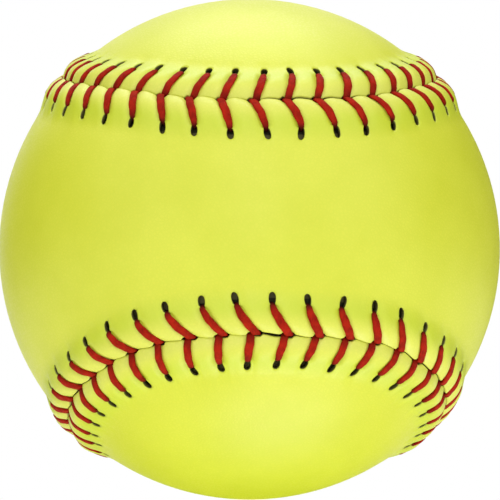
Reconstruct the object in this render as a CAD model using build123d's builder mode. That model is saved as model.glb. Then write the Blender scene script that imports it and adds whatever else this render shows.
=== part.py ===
"""Leather softball with a raised seam: a foam core, two cemented cover panels and two sewing threads.

The seam line is four equal circular arcs on the ball. The front panel's waist faces -Y and its lobes
lie at +X and -X. The back panel is the same piece mirrored and turned a quarter, with its lobes at +Z
and -Z. The origin is the centre of the ball.
"""

import os
from math import acos, asin, atan, atan2, cos, degrees, pi, sin, sqrt

from build123d import *

# Ball and cover, in millimetres
BALL_CIRCUMFERENCE = 304.8
LEATHER_THICKNESS = 1.2
CEMENT_THICKNESS = 0.3
BOND_CLEARANCE = 0.03
WAIST_WIDTH = 44.6

# Rolled lips along the seam: heights stand above the plain leather, the crest lies beside the seam line
LIP_CREST_HEIGHT = 1.5
LIP_VALLEY_HEIGHT = 0.7
LIP_CREST_OFFSET = 3.0
LIP_FOOT_RADIUS = 4.0
SEAM_GAP = 0.2

# Stitching: the seam has four arcs, so 22 stitches on an arc are 88 in each cover
STITCHES_PER_ARC = 22
STITCH_RAKE = 2.0
STITCH_STAGGER = 1.7
THREAD_WIDTH = 1.6
THREAD_THICKNESS = 0.7
THREAD_CLEARANCE = 0.1
THREAD_TAIL = 4.0
HOLE_SETBACK = 5.7
HOLE_WIDTH = 1.2
HOLE_LENGTH = 2.6
HOLE_POINT = 0.6
NOTCH_TAPER = 0.2

# Radii from the centre outwards
BALL_RADIUS = BALL_CIRCUMFERENCE / (2 * pi)
COVER_INNER_RADIUS = BALL_RADIUS - LEATHER_THICKNESS
CEMENT_OUTER_RADIUS = COVER_INNER_RADIUS - BOND_CLEARANCE
CEMENT_INNER_RADIUS = CEMENT_OUTER_RADIUS - CEMENT_THICKNESS
CORE_RADIUS = CEMENT_INNER_RADIUS - BOND_CLEARANCE

# The upper front arc of the seam: a small circle about an axis that leans from +Z towards the front
WAIST_HALF_ANGLE = WAIST_WIDTH / (2 * BALL_RADIUS)
AXIS_LEAN = atan2(sqrt(0.5) - sin(WAIST_HALF_ANGLE), cos(WAIST_HALF_ANGLE))
ARC_ANGULAR_RADIUS = pi / 2 - AXIS_LEAN - WAIST_HALF_ANGLE
ARC_START = atan(sin(AXIS_LEAN))
ARC_SWEEP = pi + 2 * ARC_START
ARC_RADIUS = BALL_RADIUS * sin(ARC_ANGULAR_RADIUS)
ACROSS = Vector(1, 0, 0)
ARC_AXIS = Vector(0, -sin(AXIS_LEAN), cos(AXIS_LEAN))
ARC_BACK = Vector(0, cos(AXIS_LEAN), sin(AXIS_LEAN))
SEWING_AXIS = Axis((0, 0, 0), -ARC_AXIS)

# The lip's roll is one circle through the crest and the valley, in a cross-section with y outwards
CREST_ANGLE = LIP_CREST_OFFSET / BALL_RADIUS
CREST = Vector(sin(CREST_ANGLE), cos(CREST_ANGLE)) * (BALL_RADIUS + LIP_CREST_HEIGHT)
VALLEY = Vector(SEAM_GAP / 2, BALL_RADIUS + LIP_VALLEY_HEIGHT)
VALLEY_CHORD = CREST - VALLEY
ROLL_RADIUS = VALLEY_CHORD.length**2 / (2 * VALLEY_CHORD.dot(CREST.normalized()))
ROLL_CENTRE_RADIUS = CREST.length - ROLL_RADIUS
ROLL_CENTRE = CREST.normalized() * ROLL_CENTRE_RADIUS
CHANNEL_RADIUS = ROLL_RADIUS - LEATHER_THICKNESS
CHANNEL_SIDE = ROLL_CENTRE.X - VALLEY.X
EDGE_BOTTOM = Vector(VALLEY.X, ROLL_CENTRE.Y + sqrt(CHANNEL_RADIUS**2 - CHANNEL_SIDE**2))


def in_section(radius, angle):
    """Point of the seam's cross-section at an angle beside the seam line, about the ball's centre."""
    return Vector(sin(angle), cos(angle)) * radius


def on_roll(radius, angle):
    """Point of the seam's cross-section at an angle beside the crest, about the roll's centre."""
    return ROLL_CENTRE + in_section(radius, CREST_ANGLE + angle)


def foot_angle(sphere_radius, roll_radius):
    """Angle beside the seam line at which a roll of one radius meets a sphere of another."""
    squares = sphere_radius**2 + ROLL_CENTRE_RADIUS**2 - roll_radius**2
    return CREST_ANGLE + acos(squares / (2 * sphere_radius * ROLL_CENTRE_RADIUS))


FOOT_ANGLE = foot_angle(BALL_RADIUS, ROLL_RADIUS)
CHANNEL_ANGLE = foot_angle(COVER_INNER_RADIUS, CHANNEL_RADIUS)
HOLE_ANGLE = asin((HOLE_SETBACK - LIP_CREST_OFFSET) / ROLL_RADIUS)

# Each stitch, from its hole to its notch at the valley, is centred on its share of the arc
STITCH_STEP = ARC_SWEEP / STITCHES_PER_ARC
STITCH_COUNT = 4 * STITCHES_PER_ARC
NOTCH_DEPTH = THREAD_THICKNESS / 2 + THREAD_CLEARANCE
NOTCH_LENGTH = STITCH_STAGGER + THREAD_WIDTH + 2 * THREAD_CLEARANCE
NOTCH_REACH = 2 * LEATHER_THICKNESS
STITCH_LENGTH = HOLE_WIDTH / 2 + STITCH_RAKE + NOTCH_LENGTH / 2 + NOTCH_TAPER
STITCH_LEAD = (STITCH_STEP * ARC_RADIUS - STITCH_LENGTH) / 2
HOLE_TURN = (STITCH_LEAD + HOLE_WIDTH / 2) / ARC_RADIUS
VALLEY_TURN = HOLE_TURN + STITCH_RAKE / ARC_RADIUS

# The thread goes over the lip in straight runs that clear the roll, and under it close to the core
OVER_RUNS = 3
OVER_CLEAR = ROLL_RADIUS + THREAD_CLEARANCE + THREAD_THICKNESS / 2
OVER_SPAN = HOLE_ANGLE + CREST_ANGLE + asin(ROLL_CENTRE.X / OVER_CLEAR)
OVER_RADIUS = OVER_CLEAR / cos(OVER_SPAN / (2 * OVER_RUNS))
OVER_END = -CREST_ANGLE - asin(ROLL_CENTRE.X / OVER_RADIUS)
UNDER_RADIUS = CHANNEL_RADIUS - THREAD_CLEARANCE - THREAD_THICKNESS / 2
UNDER_HOLE = on_roll(UNDER_RADIUS, HOLE_ANGLE)
UNDER_ADVANCE = STITCH_STEP * ARC_RADIUS - STITCH_RAKE + STITCH_STAGGER / 2
UNDER_SAG = (UNDER_HOLE.X**2 + UNDER_ADVANCE**2) / (8 * CORE_RADIUS)
UNDER_VALLEY = Vector(0, CORE_RADIUS + UNDER_SAG + THREAD_CLEARANCE + THREAD_THICKNESS / 2)
HOLE_THREAD_WIDTH = HOLE_WIDTH - 2 * THREAD_CLEARANCE


def seam_plane(turn):
    """Cross-section plane of the upper front arc: x to the waist, y outwards, z the way it is sewn."""
    spoke = ACROSS * cos(ARC_START - turn) + ARC_BACK * sin(ARC_START - turn)
    to_waist = spoke * cos(ARC_ANGULAR_RADIUS) - ARC_AXIS * sin(ARC_ANGULAR_RADIUS)
    along = ACROSS * sin(ARC_START - turn) - ARC_BACK * cos(ARC_START - turn)
    return Plane(origin=(0, 0, 0), x_dir=to_waist, z_dir=along)


def on_seam(turn, side, origin, x_dir, z_dir):
    """Plane given in the cross-section at a turn of the upper front arc, on its waist or lobe side."""
    plane = seam_plane(turn)
    place, across, outwards = (
        plane.from_local_coords(Vector(side * given.X, given.Y)) for given in (origin, x_dir, z_dir)
    )
    return Plane(origin=place, x_dir=across, z_dir=outwards)


def quarter_turned(piece):
    """The piece's image on the next arc of the seam, where front and back change places."""
    return piece.mirror(Plane.XZ).rotate(Axis.Y, -90)


def half_turned(piece):
    """The piece's image on the opposite arc of the seam, on the same panel."""
    return piece.rotate(Axis.Y, 180)


def leather_section(reach):
    """Cross-section of the cover from the seam line to an angle beside it, with its rolled lip."""
    foot = in_section(BALL_RADIUS, FOOT_ANGLE)
    with BuildSketch() as section:
        with BuildLine():
            ThreePointArc(VALLEY, CREST, foot)
            CenterArc((0, 0), BALL_RADIUS, 90 - degrees(FOOT_ANGLE), degrees(FOOT_ANGLE - reach))
            Line(in_section(BALL_RADIUS, reach), in_section(COVER_INNER_RADIUS, reach))
            CenterArc((0, 0), COVER_INNER_RADIUS, 90 - degrees(reach), degrees(reach - CHANNEL_ANGLE))
            channel_foot = in_section(COVER_INNER_RADIUS, CHANNEL_ANGLE)
            ThreePointArc(channel_foot, on_roll(CHANNEL_RADIUS, 0), EDGE_BOTTOM)
            Line(EDGE_BOTTOM, VALLEY)
        make_face()
        fillet(section.vertices().sort_by_distance(foot)[0], LIP_FOOT_RADIUS)
    return section.sketch


def cement_section(reach):
    """Cross-section of the cement film from the lip's channel to an angle beside the seam line."""
    turn = degrees(reach - CHANNEL_ANGLE)
    with BuildSketch() as section:
        with BuildLine():
            CenterArc((0, 0), CEMENT_OUTER_RADIUS, 90 - degrees(CHANNEL_ANGLE), -turn)
            Line(in_section(CEMENT_OUTER_RADIUS, reach), in_section(CEMENT_INNER_RADIUS, reach))
            CenterArc((0, 0), CEMENT_INNER_RADIUS, 90 - degrees(reach), turn)
            film_edge = [in_section(r, CHANNEL_ANGLE) for r in (CEMENT_INNER_RADIUS, CEMENT_OUTER_RADIUS)]
            Line(*film_edge)
        make_face()
    return section.sketch


def waist_half(section):
    """The half of a panel's waist along the upper front arc, down to the middle of the waist."""
    with BuildPart() as half:
        with BuildSketch(seam_plane(0)):
            add(section(1.2 * ARC_ANGULAR_RADIUS))
        revolve(axis=SEWING_AXIS, revolution_arc=degrees(ARC_SWEEP))
        split(bisect_by=Plane.XY, keep=Keep.TOP)
    return half.part


def lobe(section):
    """A panel's lobe inside the upper front arc, out to the middle of the lobe."""
    with BuildPart() as whole:
        with BuildSketch(seam_plane(0)):
            add(section(ARC_ANGULAR_RADIUS))
            mirror(about=Plane.YZ, mode=Mode.REPLACE)
        revolve(axis=SEWING_AXIS, revolution_arc=degrees(ARC_SWEEP))
    return whole.part


def stitched(piece, side):
    """The piece with a slit through its lip and a notch in its edge for each stitch."""
    steps = [STITCH_STEP * index for index in range(STITCHES_PER_ARC)]
    flank = on_roll(ROLL_RADIUS, HOLE_ANGLE)
    outwards = in_section(1, CREST_ANGLE + HOLE_ANGLE)
    downhill = Vector(outwards.Y, -outwards.X)
    slits = [on_seam(step + HOLE_TURN, side, flank, downhill, outwards) for step in steps]
    notches = [on_seam(step + VALLEY_TURN, side, VALLEY, Vector(1, 0), Vector(0, 1)) for step in steps]
    near = -THREAD_THICKNESS / 2 - THREAD_CLEARANCE
    far = near + HOLE_LENGTH
    with BuildPart() as pierced:
        add(piece, clean=False)
        with BuildSketch(*slits):
            with BuildLine():
                Polyline(
                    (near, HOLE_WIDTH / 2),
                    (far - HOLE_POINT, HOLE_WIDTH / 2),
                    (far, 0),
                    (far - HOLE_POINT, -HOLE_WIDTH / 2),
                    (near, -HOLE_WIDTH / 2),
                    close=True,
                )
            make_face()
        extrude(amount=1.5 * LEATHER_THICKNESS, both=True, mode=Mode.SUBTRACT, clean=False)
        with BuildSketch(*notches):
            with BuildLine():
                Polyline(
                    (-SEAM_GAP, NOTCH_LENGTH / 2 + NOTCH_TAPER),
                    (NOTCH_DEPTH - SEAM_GAP / 2, NOTCH_LENGTH / 2),
                    (NOTCH_DEPTH - SEAM_GAP / 2, -NOTCH_LENGTH / 2),
                    (-SEAM_GAP, -NOTCH_LENGTH / 2 - NOTCH_TAPER),
                    close=True,
                )
            make_face()
        extrude(amount=NOTCH_REACH, both=True, mode=Mode.SUBTRACT, clean=False)
    return pierced.part


def skin(piece, joints):
    """Faces of a piece without the flat ones, its largest, where it joins its neighbours."""
    flats = piece.faces().filter_by(GeomType.PLANE).sort_by(SortBy.AREA)
    return piece.faces() - flats[-joints:]


def panel(waist_piece, lobe_piece):
    """One closed solid from two waist halves and two lobes, joined along their flat faces."""
    own_lobe = quarter_turned(lobe_piece)
    faces = skin(waist_piece, 3) + skin(half_turned(waist_piece), 3)
    faces += skin(own_lobe, 2) + skin(half_turned(own_lobe), 2)
    return Solid(Shell(faces))


def seam_frame(arc, turn):
    """Cross-section plane of any arc: x towards the front panel, y outwards, z the way it is sewn."""
    plane = seam_plane(turn)
    across, along = plane.x_dir, plane.z_dir
    for _ in range(arc):
        across = Vector(across.Z, across.Y, -across.X)
        along = Vector(-along.Z, -along.Y, along.X)
    return Plane(origin=(0, 0, 0), x_dir=across, z_dir=along)


def thread_stations(first_side):
    """Centre, direction along the seam and width of a thread at each bend, on alternate sides."""
    stations = []
    side = first_side
    for number in range(STITCH_COUNT):
        arc, index = divmod(number, STITCHES_PER_ARC)
        hole = STITCH_STEP * index + HOLE_TURN
        valley = STITCH_STEP * index + VALLEY_TURN + side * STITCH_STAGGER / (2 * ARC_RADIUS)
        bends = [(hole, UNDER_HOLE, HOLE_THREAD_WIDTH)]
        for run in range(OVER_RUNS + 1):
            share = run / OVER_RUNS
            over = on_roll(OVER_RADIUS, HOLE_ANGLE + share * (OVER_END - HOLE_ANGLE))
            width = THREAD_WIDTH if run else HOLE_THREAD_WIDTH
            bends.append((hole + share * (valley - hole), over, width))
        bends.append((valley, UNDER_VALLEY, THREAD_WIDTH))
        for turn, place, width in bends:
            frame = seam_frame(arc, turn)
            centre = frame.from_local_coords(Vector(side * place.X, place.Y))
            stations.append((centre, frame.z_dir, width))
        side = -side
    last, along, width = stations[-1]
    to_first_hole = (stations[0][0] - last).normalized()
    stations.append((last + to_first_hole * THREAD_TAIL, along, width))
    return stations


def thread_tube(stations):
    """One unbroken flat tube through the bends of a thread, mitred at each, its width along the seam."""
    centres = [station[0] for station in stations]
    runs = [far - near for near, far in zip(centres, centres[1:])]
    rings = []
    for (centre, along, width), before, after in zip(stations, [runs[0], *runs], [*runs, runs[-1]]):
        come, leave = ((run - along * run.dot(along)).normalized() for run in (before, after))
        way = (come + leave).normalized()
        half_width = width / 2
        half_thickness = THREAD_THICKNESS / (2 * way.dot(come))
        with BuildSketch(Plane(origin=centre, x_dir=along, z_dir=way)) as ring:
            with BuildLine():
                Polyline(
                    (half_width, 0),
                    (half_width / 2, half_thickness),
                    (-half_width / 2, half_thickness),
                    (-half_width, 0),
                    (-half_width / 2, -half_thickness),
                    (half_width / 2, -half_thickness),
                    close=True,
                )
            make_face()
        rings.append(ring.sketch.face())
    walls = [rings[0], rings[-1]]
    for near, far in zip(rings, rings[1:]):
        with BuildPart() as run:
            loft([near, far], ruled=True, clean=False)
        walls += run.faces().filter_by(lambda face: len(face.edges()) == 4)
    return Solid(Shell(walls))


# Moulded core
with BuildPart() as core:
    Sphere(CORE_RADIUS)

# Cement films between the core and the panels, clear of the channels under the lips
with BuildPart() as front_cement:
    add(panel(waist_half(cement_section), lobe(cement_section)), clean=False)
with BuildPart() as back_cement:
    add(quarter_turned(front_cement.part), clean=False)

# Cover panels with rolled lips, stitch holes and thread notches
waist_leather = stitched(waist_half(leather_section), 1)
lobe_leather = stitched(lobe(leather_section), -1)
with BuildPart() as front_cover:
    add(panel(waist_leather, lobe_leather), clean=False)
with BuildPart() as back_cover:
    add(quarter_turned(front_cover.part), clean=False)

# Sewing threads: each needle goes over one lip, down at the seam and under the other lip
with BuildPart() as first_thread:
    add(thread_tube(thread_stations(1)), clean=False)
with BuildPart() as second_thread:
    add(thread_tube(thread_stations(-1)), clean=False)

core.part.label = "core"
front_cement.part.label = "front_cement_film"
back_cement.part.label = "back_cement_film"
front_cover.part.label = "front_cover_panel"
back_cover.part.label = "back_cover_panel"
first_thread.part.label = "first_needle_thread"
second_thread.part.label = "second_needle_thread"

os.makedirs("parts", exist_ok=True)
export_step(core.part, "parts/core.step")
export_step(front_cement.part, "parts/front_cement_film.step")
export_step(back_cement.part, "parts/back_cement_film.step")
export_step(front_cover.part, "parts/front_cover_panel.step")
export_step(back_cover.part, "parts/back_cover_panel.step")
export_step(first_thread.part, "parts/first_needle_thread.step")
export_step(second_thread.part, "parts/second_needle_thread.step")
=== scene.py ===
"""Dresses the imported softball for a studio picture: leather panels, sewing threads, core and cement.

Each panel is one closed leather piece with a rolled lip along the seam, a groove under each leg of thread
and a punched hole at its end. Sizes are in millimetres until a mesh is written in metres.
"""

import logging
import math
from dataclasses import dataclass, field
from enum import Enum

import bpy
import numpy as np
from mathutils import Matrix, Vector


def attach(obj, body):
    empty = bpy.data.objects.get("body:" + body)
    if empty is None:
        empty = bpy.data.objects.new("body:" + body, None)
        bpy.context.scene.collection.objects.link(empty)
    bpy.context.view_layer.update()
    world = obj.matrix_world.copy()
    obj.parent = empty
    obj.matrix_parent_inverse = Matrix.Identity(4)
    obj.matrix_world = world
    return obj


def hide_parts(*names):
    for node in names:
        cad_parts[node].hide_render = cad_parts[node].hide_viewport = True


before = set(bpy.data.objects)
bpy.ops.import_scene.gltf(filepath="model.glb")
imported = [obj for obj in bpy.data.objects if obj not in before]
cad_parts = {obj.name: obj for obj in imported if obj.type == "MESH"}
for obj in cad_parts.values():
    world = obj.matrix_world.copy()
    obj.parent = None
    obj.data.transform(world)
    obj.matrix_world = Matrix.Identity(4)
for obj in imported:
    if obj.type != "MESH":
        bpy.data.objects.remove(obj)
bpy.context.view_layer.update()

MM = 0.001
TINY = 1e-6
# Rows of a panel's ring for each line of its plain inside
RING_ROWS_PER_LINE = 3
Colour = tuple[float, float, float, float]
Triples = tuple[tuple[float, float, float], ...]
Bend = tuple[float, float, float, float, float, float]
Feed = bpy.types.NodeSocket | float | Colour
# Share, first colour and second colour among a Mix node's inputs, and the colour among its outputs
MIX_INPUTS = (0, 6, 7)
MIX_OUTPUT = 2
# Takes each arc of the seam to the next one, and each panel to the other
QUARTER_TURN = np.array(((0.0, 0.0, -1.0), (0.0, -1.0, 0.0), (1.0, 0.0, 0.0)))
log = logging.getLogger("softball")


class Side(Enum):
    """The panel on each side of the seam, as the sign of a distance from the seam line."""

    FRONT = 1
    BACK = -1


class Region(Enum):
    """What a panel does beside an arc of the seam: a waist lies outside the arc, a lobe inside it."""

    WAIST = 1
    LOBE = -1


class Uneven(Enum):
    """What differs from stitch to stitch in hand sewing. Each has its own dice."""

    HOLE = 0
    VALLEY = 1
    HOLE_LENGTH = 2
    HOLE_TWIST = 3
    WIDTH = 4
    SETBACK = 5


def smooth_step(low: float, high: float, value: np.ndarray) -> np.ndarray:
    """Soft ramp from 0 at low to 1 at high.

    Args:
        low: Value where the ramp starts.
        high: Value where the ramp ends.
        value: Values to grade.

    Returns:
        Grades from 0 to 1.
    """
    share = np.clip((value - low) / (high - low), 0.0, 1.0)
    return share * share * (3.0 - 2.0 * share)


@dataclass(frozen=True)
class SeamLine:
    """Closed seam of four equal circular arcs on the ball. A station is a place along it, in stitches."""

    circumference: float = 304.8
    waist_width: float = 44.6
    stitches: int = 88
    arcs: int = 4

    @property
    def ball_radius(self) -> float:
        """Radius over the plain leather."""
        return self.circumference / (2.0 * math.pi)

    @property
    def waist_half_angle(self) -> float:
        """Angle from the middle of a waist to the seam."""
        return self.waist_width / (2.0 * self.ball_radius)

    @property
    def lean(self) -> float:
        """Angle by which an arc's axis leans from the pole towards its waist."""
        return math.atan2(math.sqrt(0.5) - math.sin(self.waist_half_angle), math.cos(self.waist_half_angle))

    @property
    def arc_angle(self) -> float:
        """Angular radius of an arc about its axis."""
        return math.pi / 2.0 - self.lean - self.waist_half_angle

    @property
    def arc_start(self) -> float:
        """Angle about its axis at which an arc starts."""
        return math.atan(math.sin(self.lean))

    @property
    def per_arc(self) -> int:
        """Stitches on one arc."""
        return self.stitches // self.arcs

    @property
    def step(self) -> float:
        """Turn about the arc's axis from stitch to stitch."""
        return (math.pi + 2.0 * self.arc_start) / self.per_arc

    @property
    def pitch(self) -> float:
        """Length of seam from stitch to stitch."""
        return self.step * self.ball_radius * math.sin(self.arc_angle)

    def turn(self, stations: np.ndarray) -> np.ndarray:
        """Places along the seam as angles, a full turn for the whole seam."""
        return stations * 2.0 * math.pi / self.stitches

    def split(self, stations: np.ndarray) -> tuple[np.ndarray, np.ndarray]:
        """Arc and angle of places along the seam.

        Args:
            stations: Places along the seam.

        Returns:
            The number of each place's arc and its angle about that arc's axis.
        """
        wrapped = np.mod(stations, self.stitches)
        arc = np.minimum(wrapped // self.per_arc, self.arcs - 1).astype(int)
        return arc, self.arc_start - (wrapped - arc * self.per_arc) * self.step

    def frames(self, stations: np.ndarray) -> tuple[np.ndarray, np.ndarray, np.ndarray]:
        """Directions at places along the seam.

        Args:
            stations: Places along the seam.

        Returns:
            Unit vectors towards the front panel, along the sewing, and outwards.
        """
        arc, angle = self.split(stations)
        across = np.array((1.0, 0.0, 0.0))
        axis = np.array((0.0, -math.sin(self.lean), math.cos(self.lean)))
        back = np.array((0.0, math.cos(self.lean), math.sin(self.lean)))
        cosine, sine = np.cos(angle)[..., None], np.sin(angle)[..., None]
        spoke = cosine * across + sine * back
        along = sine * across - cosine * back
        to_waist = spoke * math.cos(self.arc_angle) - axis * math.sin(self.arc_angle)
        outwards = spoke * math.sin(self.arc_angle) + axis * math.cos(self.arc_angle)
        powers = [np.linalg.matrix_power(QUARTER_TURN, number) for number in range(self.arcs)]
        turn = np.stack(powers)[arc]
        to_front = np.where(arc % 2, -1.0, 1.0)[..., None] * to_waist
        return tuple(np.einsum("...ij,...j->...i", turn, part) for part in (to_front, along, outwards))

    def place(self, stations: np.ndarray, reach: np.ndarray, radius: np.ndarray) -> np.ndarray:
        """Points beside the seam.

        Args:
            stations: Places along the seam.
            reach: Distances from the seam over the ball, positive towards the front panel.
            radius: Distances from the ball's centre.

        Returns:
            Points, one row each.
        """
        to_front, _, outwards = self.frames(stations)
        angle = (reach / self.ball_radius)[..., None]
        return np.asarray(radius)[..., None] * (outwards * np.cos(angle) + to_front * np.sin(angle))

    def region(self, stations: np.ndarray, side: Side) -> np.ndarray:
        """What a panel does beside each station.

        Args:
            stations: Places along the seam.
            side: The panel.

        Returns:
            Values of Region.
        """
        arc, _ = self.split(stations)
        return np.where(arc % 2, Region.LOBE.value, Region.WAIST.value) * side.value

    def stretch(self, stations: np.ndarray, side: Side, reach: np.ndarray) -> np.ndarray:
        """How much longer than the seam a line beside it is.

        Args:
            stations: Places along the seam.
            side: The panel.
            reach: Distances from the seam, positive on the panel.

        Returns:
            Lengths over the seam's own length.
        """
        angle = self.arc_angle + self.region(stations, side) * reach / self.ball_radius
        return np.sin(angle) / math.sin(self.arc_angle)

    def depth(self, stations: np.ndarray, side: Side) -> np.ndarray:
        """Distance from the seam to the middle of a panel's waist or lobe.

        Args:
            stations: Places along the seam.
            side: The panel.

        Returns:
            Distances over the ball.
        """
        _, angle = self.split(stations)
        spoke = np.sin(angle) * math.sin(self.lean)
        axis = math.cos(self.lean)
        outwards = spoke * math.sin(self.arc_angle) + axis * math.cos(self.arc_angle)
        to_waist = spoke * math.cos(self.arc_angle) - axis * math.sin(self.arc_angle)
        waist = np.arctan2(outwards, -to_waist)
        lobe = np.full_like(waist, self.arc_angle)
        return self.ball_radius * np.where(self.region(stations, side) == Region.WAIST.value, waist, lobe)


@dataclass(frozen=True)
class RolledLip:
    """Cross-section of the cover beside the seam: a round roll that falls to the plain ball."""

    valley_height: float
    crest_height: float = 1.48
    crest_offset: float = 2.6
    foot: float = 9.0
    leather: float = 1.2

    def outer(self, reach: np.ndarray) -> np.ndarray:
        """Height of the smooth leather above the plain ball.

        Args:
            reach: Distances from the seam over the ball.

        Returns:
            Heights in millimetres.
        """
        climb = np.sin(math.pi / 2.0 * np.clip(reach / self.crest_offset, -1.0, 1.0))
        near = self.valley_height + (self.crest_height - self.valley_height) * climb
        fall = np.clip((reach - self.crest_offset) / (self.foot - self.crest_offset), 0.0, 1.0)
        beyond = self.crest_height * (1.0 + np.cos(math.pi * fall)) / 2.0
        return np.where(reach < self.crest_offset, near, beyond)

    def inner(self, reach: np.ndarray) -> np.ndarray:
        """Height of the leather's inner face above the plain ball, at distances from the seam."""
        return self.outer(reach) - self.leather


@dataclass(frozen=True)
class LegPlan:
    """Where one panel's legs of thread start and end, and how far these places drift round the ball.

    The hole and the valley are in stitches after the stitch's own station. The setback of the hole, the end
    of the leg on the lip and the place where it dives are in millimetres from the seam.
    """

    hole: float
    hole_drift: float
    valley: float
    valley_drift: float
    setback: float
    setback_drift: float
    lip_end: float
    dive: float


@dataclass(frozen=True)
class Stitching:
    """Where the holes and the legs of thread lie, with the small unevenness of hand sewing."""

    seam: SeamLine
    front: LegPlan = LegPlan(
        hole=0.047,
        hole_drift=0.123,
        valley=0.492,
        valley_drift=0.038,
        setback=5.88,
        setback_drift=0.17,
        lip_end=0.2,
        dive=0.06,
    )
    back: LegPlan = LegPlan(
        hole=0.145,
        hole_drift=0.005,
        valley=0.396,
        valley_drift=0.084,
        setback=5.60,
        setback_drift=0.40,
        lip_end=0.45,
        dive=-0.15,
    )
    usual_setback: float = 5.7
    short_ends: float = 0.7
    arc_setback: float = 0.45
    short_holes: float = 0.12
    bow: float = 1.3
    bow_limit: float = 1.2
    groove: float = 0.38
    groove_end: float = 0.7
    unevenness: float = 0.2
    setback_unevenness: float = 0.15
    length_unevenness: float = 0.10
    width_unevenness: float = 0.07
    most_twist: float = math.radians(9.0)
    gap_least: float = 0.055
    gap_swing: float = 0.03
    gap_waves: float = 19.0
    gap_start: float = 0.7
    # Waves round the ball, height and start of each wave in the line where the panels meet
    edge_waves: Triples = ((13.0, 0.05, 0.4), (37.0, 0.08, 2.1), (88.0, 0.13, 3.9))
    # Middle, spread and height of each place where the seam was sewn off its arc
    strays: Triples = (
        (1.2, 1.5, -0.20),
        (5.0, 2.4, -0.80),
        (10.5, 2.0, -0.30),
        (16.0, 2.6, -0.85),
        (21.6, 1.5, 0.65),
        (42.4, 1.9, 1.50),
        (51.0, 1.9, 0.95),
        (55.9, 1.2, -0.40),
        (58.8, 1.2, 0.50),
    )
    # Middle, spread and height of each place where the seam gapes
    gapes: Triples = ((9.6, 2.4, 0.24), (32.0, 2.0, 0.12), (55.0, 0.5, 0.30), (77.0, 2.5, 0.14))
    seed: int = 31
    dice_step: int = 10

    @property
    def numbers(self) -> np.ndarray:
        """The stitches' numbers, which are also their own stations."""
        return np.arange(self.seam.stitches)

    def plan(self, side: Side) -> LegPlan:
        """The plan of a panel's legs."""
        return self.front if side is Side.FRONT else self.back

    def _uneven(self, side: Side, what: Uneven) -> np.ndarray:
        """A steady value from -1 to 1 for each stitch of a side."""
        dice = np.random.default_rng(self.seed + self.dice_step * what.value + side.value)
        return dice.uniform(-1.0, 1.0, self.seam.stitches)

    def _drift(self) -> np.ndarray:
        """Slow change round the ball, from 1 at the upper front arc to -1 at the lower one."""
        return np.cos(2.0 * math.pi * (self.numbers - self.seam.per_arc / 2.0) / self.seam.stitches)

    def _on_arc(self) -> np.ndarray:
        """Where each stitch is on its arc, from 1 in the middle to -1 at the ends."""
        return np.cos(2.0 * math.pi * (self.numbers / self.seam.per_arc - 0.5))

    def _stations(self, side: Side, usual: float, drift: float, what: Uneven) -> np.ndarray:
        """Uneven stations, one for each stitch.

        Args:
            side: The panel.
            usual: Usual place after the stitch's own station.
            drift: How far the place drifts round the ball.
            what: Which unevenness it has.

        Returns:
            Stations.
        """
        shift = usual + drift * self._drift()
        return self.numbers + shift + self.unevenness * self._uneven(side, what) / self.seam.pitch

    def holes(self, side: Side) -> np.ndarray:
        """Station of each hole of a side."""
        plan = self.plan(side)
        return self._stations(side, plan.hole, plan.hole_drift, Uneven.HOLE)

    def valleys(self, side: Side) -> np.ndarray:
        """Station at which each leg of a side goes down into the seam."""
        plan = self.plan(side)
        return self._stations(side, plan.valley, plan.valley_drift, Uneven.VALLEY)

    def leans(self, side: Side) -> np.ndarray:
        """How far along the seam each leg runs from its hole to the valley."""
        return (self.valleys(side) - self.holes(side)) * self.seam.pitch

    def setbacks(self, side: Side) -> np.ndarray:
        """Distance from the seam at which each leg of a side goes down its hole.

        Args:
            side: The panel.

        Returns:
            Distances in millimetres.
        """
        plan, drift, on_arc = self.plan(side), self._drift(), self._on_arc()
        usual = plan.setback + plan.setback_drift * drift
        if side is Side.FRONT:
            usual = usual + self.short_ends * (on_arc - 1.0)
        else:
            usual = usual + self.arc_setback * np.maximum(drift, 0.0) * on_arc + self.stray(self.numbers)
        return usual + self.setback_unevenness * self._uneven(side, Uneven.SETBACK)

    def stray(self, stations: np.ndarray) -> np.ndarray:
        """How far the whole seam was sewn off its even arcs, towards the front panel."""
        return self._swells(stations, self.strays)

    def _swells(self, stations: np.ndarray, places: Triples) -> np.ndarray:
        """Sum of soft swells along the seam.

        Args:
            stations: Places along the seam.
            places: Middle, spread and height of each swell, the first two in stitches.

        Returns:
            A height for each station.
        """
        half = self.seam.stitches / 2.0
        total = np.zeros(np.shape(stations))
        for middle, spread, amount in places:
            away = np.mod(stations - middle + half, self.seam.stitches) - half
            total = total + amount * np.exp(-((away / spread) ** 2))
        return total

    def wander(self, stations: np.ndarray) -> np.ndarray:
        """How far the line where the panels meet wanders towards the front panel."""
        turn = self.seam.turn(stations)
        return sum(tall * np.sin(waves * turn + start) for waves, tall, start in self.edge_waves)

    def gap(self, stations: np.ndarray) -> np.ndarray:
        """Half of the gap between the panels away from the threads."""
        wave = 1.0 + np.sin(self.gap_waves * self.seam.turn(stations) + self.gap_start)
        return self.gap_least + self.gap_swing * wave + self._swells(stations, self.gapes)

    def hole_scales(self, side: Side) -> np.ndarray:
        """Length of each hole over the usual length, less towards the ends of the arcs."""
        uneven = self.length_unevenness * self._uneven(side, Uneven.HOLE_LENGTH)
        return 1.0 + uneven + self.short_holes * (self._on_arc() - 1.0)

    def hole_twists(self, side: Side) -> np.ndarray:
        """Angle by which each hole is turned."""
        return self.most_twist * self._uneven(side, Uneven.HOLE_TWIST)

    def widths(self, side: Side) -> np.ndarray:
        """Width of each leg of thread over the usual width."""
        return 1.0 + self.width_unevenness * self._uneven(side, Uneven.WIDTH)

    def sway(self, reach: np.ndarray, setback: np.ndarray | float) -> np.ndarray:
        """Share of a leg's lean at distances from the seam: none at the hole, all at the valley."""
        return np.clip(1.0 - reach / setback, 0.0, self.bow_limit) ** self.bow

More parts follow.
